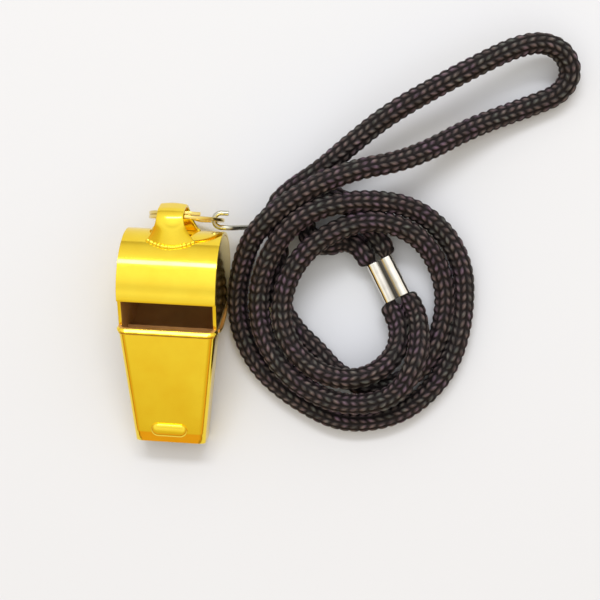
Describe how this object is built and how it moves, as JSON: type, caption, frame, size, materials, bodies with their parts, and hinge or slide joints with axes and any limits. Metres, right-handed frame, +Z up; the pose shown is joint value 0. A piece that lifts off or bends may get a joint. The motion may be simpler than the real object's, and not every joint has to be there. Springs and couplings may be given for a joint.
{
  "type": "sports whistle",
  "caption": "Metal pea whistle with a tapered mouthpiece, a barrel holding a cork pea, and a black cord neck lanyard on a split ring",
  "frame": {"origin": "on the table, under the middle of the whistle's own box (cord, ferrule and clip left out)", "axes": "+X along the barrel axis to the right, +Y from the mouth to the lug, +Z up"},
  "size_m": [0.0877, 0.0853, 0.02],
  "materials": {
    "gold": "polished gold plate on soldered sheet brass",
    "ring_brass": "pale brass wire, worn",
    "clip_steel": "bare spring wire",
    "ferrule_metal": "bright pressed sleeve",
    "cord": "black knitted cord",
    "cork": "cork ball"
  },
  "bodies": {
    "whistle": {"side_plate_left": "gold", "side_plate_right": "gold", "barrel_band": "gold", "mouthpiece_floor": "gold", "mouthpiece_cover": "gold", "windway_ramp": "gold", "lanyard_lug": "gold", "lug_solder": "gold"},
    "pea": {"pea": "cork"},
    "ring": {"split_ring": "ring_brass"},
    "lanyard": {"wire_clip": "clip_steel", "ferrule": "ferrule_metal", "clip_loop": "cord", "inner_coil": "cord", "far_bight": "cord", "outer_coil": "cord"}
  },
  "joints": [
    {"name": "pea_roll", "type": "hinge", "parent": "whistle", "child": "pea", "pos_m": [0, 0.00884, 0.01], "axis": [1, 0, 0], "continuous": true},
    {"name": "ring_swing", "type": "hinge", "parent": "whistle", "child": "ring", "pos_m": [0, 0.02149, 0.01601], "axis": [1, 0, 0], "range_deg": [0, 20]},
    {"name": "clip_tilt", "type": "hinge", "parent": "ring", "child": "lanyard", "pos_m": [0.00857, 0.02111, 0.00932], "axis": [1, 0, 0], "range_deg": [-20, 0]}
  ],
  "couplings": [
    {"joint": "ring_swing", "follows": "clip_tilt", "ratio": -1}
  ]
}
